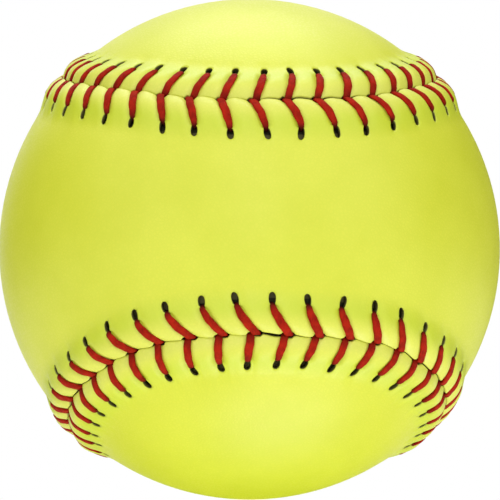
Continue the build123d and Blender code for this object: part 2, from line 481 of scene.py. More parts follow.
    def in_groove(self, reach: np.ndarray, setback: np.ndarray | float) -> np.ndarray:
        """Share of a groove's depth at distances from the seam: all on the lip, none past the hole."""
        return 1.0 - smooth_step(-self.groove_end, self.groove_end, reach - setback)


def write_mesh(name: str, points: np.ndarray, faces: list[np.ndarray]) -> bpy.types.Object:
    """A smooth mesh object in the scene.

    Args:
        name: The object's name.
        points: Corners in millimetres.
        faces: Arrays of corner numbers, each array with faces of one size.

    Returns:
        The new object.
    """
    mesh = bpy.data.meshes.new(name)
    mesh.vertices.add(len(points))
    mesh.vertices.foreach_set("co", (points * MM).astype(np.float32).ravel())
    sizes = np.concatenate([np.full(len(part), part.shape[1]) for part in faces])
    loops = np.concatenate([part.ravel() for part in faces])
    mesh.loops.add(len(loops))
    mesh.loops.foreach_set("vertex_index", loops.astype(np.int32))
    mesh.polygons.add(len(sizes))
    mesh.polygons.foreach_set("loop_start", np.concatenate(([0], np.cumsum(sizes)[:-1])).astype(np.int32))
    mesh.polygons.foreach_set("use_smooth", np.ones(len(sizes), bool))
    mesh.update(calc_edges=True)
    mesh.validate()
    piece = bpy.data.objects.new(name, mesh)
    bpy.context.scene.collection.objects.link(piece)
    return piece


def mark_points(piece: bpy.types.Object, name: str, values: np.ndarray) -> None:
    """Stores one value for each corner of a mesh, for its material.

    Args:
        piece: The mesh object.
        name: Name of the attribute.
        values: A value for each corner.
    """
    mark = piece.data.attributes.new(name, "FLOAT", "POINT")
    mark.data.foreach_set("value", np.asarray(values, np.float32))


@dataclass
class CoverPanel:
    """One leather panel of the cover, built as a ring along the seam and a plain inside.

    The ring's rows run away from the seam, dense over the holes and open between them. Its columns run
    along the seam, and a block of them bounds the holes. A fade gives the distances where an effect starts to
    end and where it has ended.
    """

    name: str
    node: str
    side: Side
    seam: SeamLine
    lip: RolledLip
    stitching: Stitching
    hole_past_leg: float = 0.90
    hole_half_length: float = 1.36
    hole_half_width: float = 0.60
    hole_plump: float = 0.18
    hole_rim: float = 0.25
    hole_rows: int = 3
    block_half_length: float = 1.6
    block_half_width: float = 0.72
    block_columns: int = 11
    block_pull: float = 2.1
    dense_half: float = 1.2
    dense_rows: int = 11
    open_rows: int = 7
    ring_width: float = 12.0
    near_columns: tuple[float, ...] = (
        0.0, 0.22, 0.5, 0.8, 1.1, 1.45, 1.8, 2.2, 2.6, 3.0, 3.4, 3.8, 4.15, 4.45, 4.75,
    )
    far_columns: tuple[float, ...] = (8.6, 9.1, 9.7, 10.4, 11.2)
    under_columns: tuple[int, ...] = (0, 3, 6, 9, 12, 14)
    under_past_block: int = 3
    shift_start: float = 1.5
    shift_full: float = 4.7
    shift_end: float = 8.7
    even_start: float = 8.8
    edge_fade: float = 2.5
    edge_depth: float = 0.9
    wander_fade: tuple[float, float] = (0.6, 4.5)
    stray_fade: tuple[float, float] = (8.5, 11.9)
    puff: float = 0.26
    puff_sink: float = 0.35
    puff_start: float = 3.0
    notch: float = 0.47
    notch_fade: tuple[float, float] = (0.50, 1.03)
    groove_fade: tuple[float, float] = (0.55, 1.5)
    dimple: float = 0.10
    dimple_spread: float = 0.55
    # Waves round the ball, slant and height of each ripple
    ripples: Triples = ((29.0, 0.25, 0.05), (67.0, 0.5, 0.035), (151.0, 0.9, 0.02), (263.0, 1.6, 0.012))
    ripple_fade: tuple[float, float] = (7.0, 11.5)
    ripple_dice: int = 90
    inside_columns: int = 13
    inside_under_columns: int = 9
    inside_crowding: float = 1.35
    halved_columns: int = 5
    sixth_columns: int = 2
    points: list[np.ndarray] = field(default_factory=list)
    faces: list[np.ndarray] = field(default_factory=list)
    cut: list[np.ndarray] = field(default_factory=list)
    reach: list[np.ndarray] = field(default_factory=list)
    count: int = 0

    @property
    def rows_per_stitch(self) -> int:
        """Rows of the ring for each stitch."""
        return self.dense_rows + self.open_rows

    @property
    def hole_middle(self) -> float:
        """Usual distance of a hole's middle from the seam."""
        return self.stitching.usual_setback + self.hole_past_leg

    def _add(self, points: np.ndarray, cut: float, reach: np.ndarray) -> np.ndarray:
        """Keeps points and what the material needs to know of them.

        Args:
            points: Points in millimetres, in any array shape.
            cut: 1 for a cut face, which takes the deep olive colour of painted shade, 0 for the face with
                dye.
            reach: Distance of each point from the seam.

        Returns:
            Numbers of the points, in the same shape.
        """
        flat = points.reshape(-1, 3)
        numbers = np.arange(self.count, self.count + len(flat)).reshape(points.shape[:-1])
        self.points.append(flat)
        self.cut.append(np.full(len(flat), cut))
        self.reach.append(np.broadcast_to(reach, points.shape[:-1]).ravel())
        self.count += len(flat)
        return numbers

    def _face(self, corners: list[np.ndarray], outside: bool = True) -> None:
        """Keeps faces whose corners run along the sewing and then away from the seam.

        Args:
            corners: Arrays of corner numbers, one for each corner of a face.
            outside: Whether the faces look out of the ball.
        """
        turned = outside == (self.side is Side.FRONT)
        order = corners if turned else corners[::-1]
        self.faces.append(np.stack([np.ravel(part) for part in order], axis=1))

    def _rows(self) -> tuple[np.ndarray, np.ndarray, np.ndarray]:
        """Places the rows of the ring.

        Returns:
            Station of each row at the holes, its lean towards the valley, and its hole's setback.
        """
        holes = self.stitching.holes(self.side)
        next_holes = np.append(holes[1:], holes[0] + self.seam.stitches)
        half = self.dense_half / self.seam.pitch
        close = holes[:, None] + np.linspace(-half, half, self.dense_rows)
        share = np.arange(1, self.open_rows + 1) / (self.open_rows + 1)
        gap = (next_holes - holes - 2.0 * half)[:, None]
        between = holes[:, None] + half + share * gap
        ease = np.concatenate((np.zeros(self.dense_rows), smooth_step(0.0, 1.0, share)))
        leans, setbacks = (
            values[:, None] + ease * (np.roll(values, -1) - values)[:, None]
            for values in (self.stitching.leans(self.side), self.stitching.setbacks(self.side))
        )
        return np.concatenate((close, between), axis=1).ravel(), leans.ravel(), setbacks.ravel()

    def _columns(self) -> tuple[np.ndarray, slice]:
        """Places the columns of the ring.

        Returns:
            Distance of each column from the seam, and which columns bound the holes.
        """
        low, high = self.hole_middle - self.block_half_length, self.hole_middle + self.block_half_length
        inner_block = np.linspace(low, high, self.block_columns)
        first = len(self.near_columns)
        columns = np.concatenate((self.near_columns, inner_block, self.far_columns, (self.ring_width,)))
        return columns, slice(first, first + self.block_columns - 1)

    def _edge(self, stations: np.ndarray) -> np.ndarray:
        """Half of the gap at the seam: nearly shut between stitches, open where the threads go down.

        Args:
            stations: Places along the seam.

        Returns:
            Distances in millimetres.
        """
        open_share = np.zeros_like(stations)
        for side in Side:
            valleys = self.stitching.valleys(side)
            nearest = np.mod(np.round(stations - valleys[0]), self.seam.stitches).astype(int)
            beside = np.abs(np.mod(stations - valleys[nearest] + 0.5, 1.0) - 0.5) * self.seam.pitch
            open_share = np.maximum(open_share, 1.0 - smooth_step(*self.notch_fade, beside))
        return self.stitching.gap(stations) + self.notch * open_share

    def _pull_to_hole(
        self, along: np.ndarray, beside: np.ndarray, stitch: np.ndarray
    ) -> tuple[np.ndarray, np.ndarray, np.ndarray]:
        """Moves points round a hole so that the block of faces there has the hole's outline.

        Args:
            along: Distances along the seam from the hole's middle.
            beside: Distances away from the seam from the hole's middle.
            stitch: Number of the hole for each point.

        Returns:
            The moved distances, and how many block sizes each point lies from the middle.
        """
        wide, long = along / self.block_half_width, beside / self.block_half_length
        size = np.maximum(np.maximum(np.abs(wide), np.abs(long)), TINY)
        angle = np.arctan2(long, wide)
        scale = self.stitching.hole_scales(self.side)[stitch]
        twist = self.stitching.hole_twists(self.side)[stitch]
        half_width = self.hole_half_width * (1.0 + self.hole_plump * np.sin(angle))
        outline_y = self.hole_half_length * scale * np.sin(angle)
        outline_x = half_width * np.cos(angle) + (outline_y + self.hole_half_length) * np.sin(twist)
        hold = 1.0 - smooth_step(1.0, self.block_pull, size)
        moved_x = along + (outline_x - along / size) * hold * np.minimum(size, 1.0)
        moved_y = beside + (outline_y - beside / size) * hold * np.minimum(size, 1.0)
        return moved_x, moved_y, size

    def _relief(
        self, stations: np.ndarray, reach: np.ndarray, stitch: np.ndarray, size: np.ndarray
    ) -> np.ndarray:
        """Height of the outer face above the plain ball.

        Args:
            stations: Places along the seam.
            reach: Distances from the seam.
            stitch: Number of the stitch that each point belongs to.
            size: How many block sizes each point lies from its hole's middle.

        Returns:
            Heights in millimetres.
        """
        holes, leans = self.stitching.holes(self.side), self.stitching.leans(self.side)
        after = np.mod(stitch + 1, self.seam.stitches)
        wrap = np.where(after == 0, self.seam.stitches, 0.0)
        setbacks = self.stitching.setbacks(self.side)[stitch]
        sway = self.stitching.sway(reach, setbacks)
        from_leg = (stations - holes[stitch]) * self.seam.pitch - leans[stitch] * sway
        to_next = (stations - holes[after] - wrap) * self.seam.pitch - leans[after] * sway
        stretch = self.seam.stretch(stations, self.side, reach)
        slant = np.cos(np.arctan(leans[stitch] / setbacks))
        depth = np.zeros_like(reach)
        for distance in (from_leg, to_next):
            across = np.abs(distance) * stretch * slant
            depth = np.maximum(depth, 1.0 - smooth_step(*self.groove_fade, across))
        groove = self.stitching.groove * depth * self.stitching.in_groove(reach, setbacks)
        share = from_leg / np.maximum(from_leg - to_next, TINY)
        on_lip = 1.0 - smooth_step(self.puff_start, self.lip.foot, reach)
        swell = np.sin(math.pi * share) ** 2 * on_lip
        dimple = np.exp(-(((size - 1.0) / self.dimple_spread) ** 2)) * (size >= 1.0)
        relief = self.lip.outer(reach) + self.puff * (swell - self.puff_sink * on_lip)
        return relief - groove - self.dimple * dimple + self._ripple(stations, reach)

    def _ripple(self, stations: np.ndarray, reach: np.ndarray) -> np.ndarray:
        """Slight unevenness of the leather along the lip.

        Args:
            stations: Places along the seam.
            reach: Distances from the seam.

        Returns:
            Heights in millimetres.
        """
        dice = np.random.default_rng(self.stitching.seed + self.ripple_dice + self.side.value)
        turn = self.seam.turn(stations)
        height = np.zeros_like(reach)
        for waves, cross, tall in self.ripples:
            lean, start = dice.uniform(-1.0, 1.0), dice.uniform(0.0, 2.0 * math.pi)
            height += tall * np.sin(waves * turn + cross * lean * reach + start)
        return height * (1.0 - smooth_step(*self.ripple_fade, reach))

    def _astray(self, stations: np.ndarray, reach: np.ndarray) -> np.ndarray:
        """How far the leather was sewn off its even place, towards the front panel.

        Args:
            stations: Places along the seam.
            reach: Distances from the seam.

        Returns:
            Distances in millimetres.
        """
        wander = self.stitching.wander(stations) * (1.0 - smooth_step(*self.wander_fade, reach))
        return wander + self.stitching.stray(stations) * (1.0 - smooth_step(*self.stray_fade, reach))

    def _layout(self) -> tuple[np.ndarray, np.ndarray, np.ndarray, np.ndarray]:
        """Lays out the ring's points, with rows along the legs of thread and faces drawn round the holes.

        Returns:
            For each point its station, its distance from the seam, the number of its stitch, and how many
            block sizes it lies from the hole's middle.
        """
        base, lean, setback = (part[:, None] for part in self._rows())
        columns, _ = self._columns()
        rows = len(base)
        stitch = np.repeat(self.stitching.numbers, self.rows_per_stitch)[:, None]
        stitch = np.broadcast_to(stitch, (rows, len(columns)))
        shift = setback - self.stitching.usual_setback
        near_hole = smooth_step(self.shift_start, self.shift_full, columns)
        past_hole = smooth_step(self.shift_end, self.ring_width, columns)
        reach = columns + shift * (near_hole * (1.0 - past_hole))
        stations = base + lean * self.stitching.sway(reach, setback) / self.seam.pitch
        even = ((np.arange(rows) - 1.0) / self.rows_per_stitch)[:, None]
        stations = stations + (even - stations) * smooth_step(self.even_start, self.ring_width, reach)
        reach = reach + self._edge(stations[:, :1]) * np.maximum(1.0 - reach / self.edge_fade, 0.0)
        from_row = (stations - base) * self.seam.pitch
        holes = self.stitching.holes(self.side)
        along = (base - holes[stitch]) * self.seam.pitch
        middle = self.hole_middle + shift
        pulled, beside, size = self._pull_to_hole(along, reach - middle, stitch)
        return holes[stitch] + (pulled + from_row) / self.seam.pitch, beside + middle, stitch, size

    def _ring(self) -> tuple[np.ndarray, np.ndarray]:
        """Builds the ring of leather along the seam with its holes, edge and inner face.

        Returns:
            Numbers of the points on the ring's far side, outer face and inner face.
        """
        stations, reach, stitch, size = self._layout()
        columns, block = self._columns()
        height = self._relief(stations, reach, stitch, size)
        ball = self.seam.ball_radius
        signed = self.side.value * reach + self._astray(stations, reach)
        outer = self._add(self.seam.place(stations, signed, ball + height), 0.0, reach)
        past_block = (block.stop + self.under_past_block, len(columns) - 1)
        keep = np.array([*self.under_columns, *range(block.start, block.stop + 1), *past_block])
        low = self.lip.inner(reach[:, keep])
        low[:, 0] = np.minimum(low[:, 0], height[:, 0] - self.edge_depth)
        low_points = self.seam.place(stations[:, keep], signed[:, keep], ball + low)
        inner = self._add(low_points, 1.0, reach[:, keep])
        first = len(self.under_columns)
        inner_block = slice(first, first + block.stop - block.start)
        self._sheet(outer, block, True)
        self._sheet(inner, inner_block, False)
        self._edge_wall(outer[:, 0], inner[:, 0])
        for number in range(self.seam.stitches):
            top = self._hole_loop(outer, block, number)
            self._hole_wall(top, self._hole_loop(inner, inner_block, number))
        return outer[:, -1], inner[:, -1]

    def _sheet(self, grid: np.ndarray, block: slice, outside: bool) -> None:
        """Keeps the faces of a grid round the ring, apart from its holes.

        Args:
            grid: Point numbers, a row for each row of the ring.
            block: Columns that bound the holes.
            outside: Whether the faces look out of the ball.
        """
        ahead = np.roll(grid, -1, axis=0)
        solid = np.ones((len(grid), grid.shape[1] - 1), bool)
        middle = self.dense_rows // 2
        in_stitch = np.arange(len(grid)) % self.rows_per_stitch
        over = (in_stitch >= middle - self.hole_rows) & (in_stitch < middle + self.hole_rows)
        solid[over, block.start:block.stop] = False
        corners = [grid[:, :-1], ahead[:, :-1], ahead[:, 1:], grid[:, 1:]]
        self._face([part[solid] for part in corners], outside)

    def _edge_wall(self, outer: np.ndarray, inner: np.ndarray) -> None:
        """Closes the leather's cut edge along the seam.

        Args:
            outer: Point numbers along the outer face's edge.
            inner: Point numbers along the inner face's edge.
        """
        points = np.concatenate(self.points)
        middle = self._add(0.5 * (points[outer] + points[inner]), 1.0, np.zeros(len(outer)))
        for top, bottom in ((outer, middle), (middle, inner)):
            self._face([top, bottom, np.roll(bottom, -1), np.roll(top, -1)])

    def _hole_loop(self, grid: np.ndarray, block: slice, number: int) -> np.ndarray:
        """Point numbers round one hole.

        Args:
            grid: Point numbers, a row for each row of the ring.
            block: Columns that bound the holes.
            number: Number of the hole.

        Returns:
            Point numbers in order.
        """
        middle = number * self.rows_per_stitch + self.dense_rows // 2
        first, last = middle - self.hole_rows, middle + self.hole_rows
        near, far = block.start, block.stop
        return np.concatenate((
            grid[first:last, near],
            grid[last, near:far],
            grid[last:first:-1, far],
            grid[first, far:near:-1],
        ))

    def _hole_wall(self, top: np.ndarray, bottom: np.ndarray) -> None:
        """Closes the wall of one hole, with a sharp rim just under the outer face.

        Args:
            top: Point numbers round the hole on the outer face.
            bottom: Point numbers round the hole on the inner face.
        """
        places = np.concatenate(self.points[:2])
        rim_places = places[top] * (1.0 - self.hole_rim / self.seam.ball_radius)
        rim = self._add(rim_places, 1.0, np.full(len(top), self.hole_middle))
        for upper, lower in ((top, rim), (rim, bottom)):
            self._face([upper, np.roll(upper, -1), np.roll(lower, -1), lower])

    def _inside(self, ring: np.ndarray, rise: float, cut: float, columns: int, outside: bool) -> None:
        """Builds the plain leather from the ring to the middle of the waist and of the lobes.

        Args:
            ring: Point numbers on the ring's far side.
            rise: Height above the plain ball.
            cut: 1 for a cut face, which takes the deep olive colour of painted shade, 0 for the face with
                dye.
            columns: Number of columns.
            outside: Whether the faces look out of the ball.
        """
        lines = len(ring) // RING_ROWS_PER_LINE
        per_arc = lines // self.seam.arcs
        stations = np.arange(lines) * self.seam.stitches / lines
        depth = self.seam.depth(stations, self.side)
        depth[::per_arc] = self.seam.arc_angle * self.seam.ball_radius
        share = (np.arange(1, columns + 1) / columns) ** self.inside_crowding
        reach = self.ring_width + share * (depth[:, None] - self.ring_width)
        radius = np.full_like(reach, self.seam.ball_radius + rise)
        wide = np.broadcast_to(stations[:, None], reach.shape)
        numbers = self._add(self.seam.place(wide, self.side.value * reach, radius), cut, reach)
        self._weld_middle(numbers, per_arc)
        self._step_down(ring, numbers[:, 0], outside)
        for arc in range(self.seam.arcs):
            in_arc = numbers[np.mod(np.arange(arc * per_arc, (arc + 1) * per_arc + 1), lines)]
            middle = np.array([self.seam.per_arc * (arc + 0.5)])
            waist = self.seam.region(middle, self.side)[0] == Region.WAIST.value
            self._sector(in_arc, waist, outside)

    def _weld_middle(self, grid: np.ndarray, per_arc: int) -> None:
        """Gives the lines that meet at the middle of a waist or lobe the same last point.

        Args:
            grid: Point numbers, a row for each line, which are changed.
            per_arc: Number of lines beside one arc of the seam.
        """
        first_waist = 0 if self.side is Side.FRONT else 1
        for line in range(1, per_arc):
            here = first_waist * per_arc + line
            there = np.mod((first_waist + 2) * per_arc + per_arc - line, len(grid))
            grid[there, -1] = grid[here, -1]
        for lobe in (1 - first_waist, 3 - first_waist):
            lines = np.mod(np.arange(lobe * per_arc, (lobe + 1) * per_arc + 1), len(grid))
            grid[lines, -1] = grid[lines[1], -1]

    def _step_down(self, ring: np.ndarray, first: np.ndarray, outside: bool) -> None:
        """Joins the ring's many points to the fewer lines of the inside.

        Args:
            ring: Point numbers on the ring's far side.
            first: Point numbers at the start of the lines.
            outside: Whether the faces look out of the ball.
        """
        start = np.arange(1, len(ring), RING_ROWS_PER_LINE)
        fine = [ring[np.mod(start + number, len(ring))] for number in range(RING_ROWS_PER_LINE + 1)]
        ahead = np.roll(first, -1)
        self._face([fine[0], fine[1], first], outside)
        self._face([fine[1], fine[2], ahead, first], outside)
        self._face([fine[2], fine[3], ahead], outside)

    def _sector(self, lines: np.ndarray, waist: bool, outside: bool) -> None:
        """Keeps the faces of one arc's share of the inside.

        Args:
            lines: Point numbers, a row for each line away from the seam.
            waist: Whether the lines end along the middle of a waist, and not all at the middle of a lobe.
            outside: Whether the faces look out of the ball.
        """
        last = lines.shape[1] - 1
        halved, sixth = last - self.halved_columns, last - self.sixth_columns
        steps = [1 if waist or column < halved else 2 if column < sixth else 6 for column in range(last + 1)]
        for column in range(last):
            step, after = steps[column], steps[column + 1]
            near = lines[::step, column]
            far = lines[::after, column + 1]
            if not waist and column + 1 == last:
                self._face([near[:-1], near[1:], np.full(len(near) - 1, far[0])], outside)
            elif step == after:
                self._face([near[:-1], near[1:], far[1:], far[:-1]], outside)
            else:
                self._fan_in(near, far, after // step, outside)

    def _fan_in(self, near: np.ndarray, far: np.ndarray, ratio: int, outside: bool) -> None:
        """Joins a line of many points to one with fewer.

        Args:
            near: Point numbers of the line with more points.
            far: Point numbers of the line with fewer points.
            ratio: How many steps of the first line go to one of the second.
            outside: Whether the faces look out of the ball.
        """
        half = ratio // 2
        for number in range(ratio):
            left, right = near[number:-1:ratio], near[number + 1::ratio]
            self._face([left, right, far[:-1] if number < half else far[1:]], outside)
        self._face([near[half:-1:ratio], far[1:], far[:-1]], outside)

    def build(self) -> bpy.types.Object:
        """Builds the panel in place of its CAD node.

        Returns:
            The panel's object.
        """
        outer, inner = self._ring()
        self._inside(outer, 0.0, 0.0, self.inside_columns, True)
        self._inside(inner, -self.lip.leather, 1.0, self.inside_under_columns, False)
        points = np.concatenate(self.points)
        piece = write_mesh(self.name, points, self.faces)
        # Cut faces carry painted shade: a deep olive colour in the holes, at the seam gap and inside
        mark_points(piece, "cut_face_shade", np.concatenate(self.cut))
        mark_points(piece, "from_seam", np.concatenate(self.reach))
        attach(piece, "root")
        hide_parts(self.node)
        return piece


@dataclass
class SewingThread:
    """One needle's thread, sewn over one lip, down at the seam and under the other lip, round the ball.

    A leg is the part of the thread on one lip, from its hole to the valley at the seam. A bend is a control
    point: its station, distance beside the seam line, height, width, thickness and share of painted shade.
    """

    name: str
    node: str
    first_side: Side
    seam: SeamLine
    lips: dict[Side, RolledLip]
    stitching: Stitching
    width: float = 1.50
    hole_width: float = 0.98
    dive_width: float = 0.9
    thickness: float = 0.62
    clearance: float = 0.03
    bedding: float = 0.12
    section_power: float = 0.75
    plies: int = 3
    lay: float = 2.6
    ply_depth: float = 0.055
    around: int = 16
    profile_start: float = -1.0
    profile_points: int = 1001
    lip_edge: float = 0.05
    over_bends: int = 9
    shown_steps: int = 5
    hidden_steps: int = 2
    leg_start: float = 0.35
    grow_start: float = 0.6
    grow_end: float = 2.2
    pinch: float = 0.15
    pinch_fade: tuple[float, float] = (1.6, 0.2)
    # Painted shade on the legs: its share near the hole and, on the back legs, near the valley
    hole_shade: float = 0.45
    hole_shade_length: float = 1.1
    valley_shade: float = 0.5
    valley_shade_fade: tuple[float, float] = (1.5, 0.5)
    hole_beyond: float = 0.28
    hole_depths: tuple[float, ...] = (1.1, 0.45)
    # Depth under the lip's edge, and share of painted shade, of each bend on the way down at the seam
    dives: tuple[tuple[float, float], ...] = ((0.36, 0.3), (0.9, 1.0))
    under_floor: float = 47.4
    dive_above_floor: float = 0.3
    run_above_floor: float = 0.15
    run_shares: tuple[float, ...] = (0.35, 0.7)
    tail_share: float = 0.55

    def _over_lip(self, side: Side, reach: np.ndarray, setback: float) -> tuple[np.ndarray, np.ndarray]:
        """Middle of a leg that lies in its groove, in the seam's cross-section.

        Args:
            side: The panel that the leg lies on.
            reach: Distances from the seam over the ball.
            setback: Distance at which the leg goes down its hole.

        Returns:
            Distances beside the seam line, and heights from the ball's centre.
        """
        ball = self.seam.ball_radius
        fine = np.linspace(self.profile_start, self.lips[side].foot, self.profile_points)
        radius = ball + self.lips[side].outer(np.maximum(fine, self.lip_edge))
        line = np.stack((np.sin(fine / ball) * radius, np.cos(fine / ball) * radius), axis=1)
        ahead = np.gradient(line, axis=0)
        normal = np.stack((-ahead[:, 1], ahead[:, 0]), axis=1)
        normal /= np.linalg.norm(normal, axis=1, keepdims=True)
        depth = self.stitching.groove * self.stitching.in_groove(fine, setback) + self.bedding
        line = line + normal * (self.thickness / 2.0 + self.clearance - depth)[:, None]
        return np.interp(reach, fine, line[:, 0]), np.interp(reach, fine, line[:, 1])

    def _leg(self, side: Side, hole: float, valley: float, setback: float, scale: float) -> list[Bend]:
        """Bends of one leg, up through its hole, over the lip and down at the seam.

        Args:
            side: The panel that the leg lies on.
            hole: Station of its hole.
            valley: Station at which it goes down into the seam.
            setback: Distance from the seam at which it goes down its hole.
            scale: Its width over the usual width.

        Returns:
            The bends in order.
        """
        wide = self.width * scale
        plan = self.stitching.plan(side)
        over = np.linspace(setback - self.leg_start, plan.lip_end, self.over_bends)
        over_x, over_y = self._over_lip(side, over, setback)
        pinched = 1.0 - self.pinch * smooth_step(*self.pinch_fade, over)
        taper = smooth_step(setback + self.grow_start, setback - self.grow_end, over) * pinched
        grown = self.hole_width + (wide - self.hole_width) * taper
        # Painted shade on the leg, darker towards its hole and, on the back panel, near the valley
        shade = self.hole_shade * smooth_step(setback - self.hole_shade_length, setback, over)
        if side is Side.BACK:
            shade = shade + self.valley_shade * smooth_step(*self.valley_shade_fade, over)
        stations = hole + (valley - hole) * self.stitching.sway(over, setback)
        hole_x = side.value * (over_x[0] + self.hole_beyond)
        level = self.seam.ball_radius + self.lips[side].valley_height
        # Bends in the hole are fully in painted shade
        bends = [
            (hole, hole_x, height, self.hole_width, self.thickness, 1.0)
            for height in (self.under_floor, *(over_y[0] - depth for depth in self.hole_depths))
        ]
        for station, beside, height, broad, painted_shade in zip(stations, over_x, over_y, grown, shade):
            bends.append((station, side.value * beside, height, broad, self.thickness, painted_shade))
        # Bends on the way down at the seam carry painted shade
        down = [(level - depth, shade_share) for depth, shade_share in self.dives]
        for height, shade_share in (*down, (self.under_floor + self.dive_above_floor, 1.0)):
            bends.append((valley, plan.dive, height, self.dive_width * wide, self.thickness, shade_share))
        return bends

    def _bends(self) -> tuple[np.ndarray, np.ndarray, np.ndarray]:
        """Control points of the whole thread.

        Returns:
            Points, directions along the seam, and rows of width, thickness and share of painted shade.
        """
        sewn = self.stitching
        kinds = (sewn.holes, sewn.valleys, sewn.setbacks, sewn.widths)
        legs = {side: np.stack([kind(side) for kind in kinds], axis=1) for side in Side}
        bends: list[Bend] = []
        side = self.first_side
        for number in range(self.seam.stitches):
            leg = self._leg(side, *legs[side][number])
            bends += leg
            beside, valley = abs(leg[0][1]), leg[-1][0]
            side = Side(-side.value)
            ends = number + 1 == self.seam.stitches
            ahead = legs[side][0, 0] + self.seam.stitches if ends else legs[side][number + 1, 0]
            length = self.tail_share if ends else 1.0
            for share in self.run_shares:
                under = (valley + share * length * (ahead - valley), side.value * share * length * beside)
                height = self.under_floor + self.run_above_floor
                bends.append((*under, height, self.hole_width, self.thickness, 1.0))
        table = np.array(bends)
        to_front, along, outwards = self.seam.frames(table[:, 0])
        angle = (sewn.stray(table[:, 0]) / self.seam.ball_radius)[:, None]
        beside = table[:, 1:2] * np.cos(angle) + table[:, 2:3] * np.sin(angle)
        height = table[:, 2:3] * np.cos(angle) - table[:, 1:2] * np.sin(angle)
        return to_front * beside + outwards * height, along, table[:, 3:]

    def _smoothed(self, control: np.ndarray, times: np.ndarray) -> np.ndarray:
        """Values of a cubic B-spline.

        Args:
            control: Control values, one row each.
            times: Places along the spline, counted in control rows.

        Returns:
            A row for each time.
        """
        padded = np.concatenate((control[:1], control, control[-1:]))
        index = np.minimum(times.astype(int), len(control) - 2)
        part = (times - index)[:, None]
        weights = (
            (1.0 - part) ** 3,
            3.0 * part**3 - 6.0 * part**2 + 4.0,
            -3.0 * part**3 + 3.0 * part**2 + 3.0 * part + 1.0,
            part**3,
        )
        last = len(padded) - 1
        nearby = (padded[np.minimum(index + shift, last)] for shift in range(len(weights)))
        return sum(weight * values for weight, values in zip(weights, nearby)) / 6.0

    def _times(self, bends: int) -> np.ndarray:
        """Places of the thread's rings, closer together where the thread shows.

        Args:
            bends: Number of control points.

        Returns:
            Places counted in control points.
        """
        steps = np.full(bends // self.seam.stitches, self.hidden_steps)
        # The thread shows from the last bend in its hole to the first one of its dive
        first = len(self.hole_depths)
        steps[first:first + self.over_bends + 2] = self.shown_steps
        counts = np.tile(steps, self.seam.stitches)[:bends - 1]
        return np.concatenate([number + np.arange(count) / count for number, count in enumerate(counts)])

    def build(self) -> bpy.types.Object:
        """Builds the thread in place of its CAD node.

        Returns:
            The thread's object.
        """
        control, directions, shape = self._bends()
        times = self._times(len(control))
        centres, along, sizes = (self._smoothed(values, times) for values in (control, directions, shape))
        ahead = np.gradient(centres, axis=0)
        ahead /= np.linalg.norm(ahead, axis=1, keepdims=True)
        wide = along - ahead * np.sum(along * ahead, axis=1, keepdims=True)
        wide /= np.linalg.norm(wide, axis=1, keepdims=True)
        thick = np.cross(ahead, wide)
        run = np.concatenate(([0.0], np.cumsum(np.linalg.norm(np.diff(centres, axis=0), axis=1))))
        angle = np.linspace(0.0, 2.0 * math.pi, self.around, endpoint=False)
        twist = 2.0 * math.pi * run[:, None] / self.lay
        plump = 1.0 + self.ply_depth * np.cos(self.plies * angle - twist)
        flat, round_top = (
            np.sign(part) * np.abs(part) ** self.section_power for part in (np.cos(angle), np.sin(angle))
        )
        across = sizes[:, :1] / 2.0 * flat * plump
        up = sizes[:, 1:2] / 2.0 * round_top * plump
        points = centres[:, None] + across[..., None] * wide[:, None] + up[..., None] * thick[:, None]
        grid = np.arange(points.shape[0] * self.around).reshape(points.shape[:2])
        ring_ahead = np.roll(grid, -1, axis=1)
        quads = np.stack((grid[:-1], ring_ahead[:-1], ring_ahead[1:], grid[1:]), axis=-1).reshape(-1, 4)
        caps = np.stack((grid[0][::-1], grid[-1]))
        piece = write_mesh(self.name, points.reshape(-1, 3), [quads, caps])
        mark_points(piece, "thread_run", np.repeat(run, self.around))
        mark_points(piece, "thread_round", np.tile(angle, len(run)))
        # Share of painted shade at each ring of the thread
        mark_points(piece, "shade_share", np.repeat(sizes[:, 2], self.around))
        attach(piece, "root")
        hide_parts(self.node)
        return piece


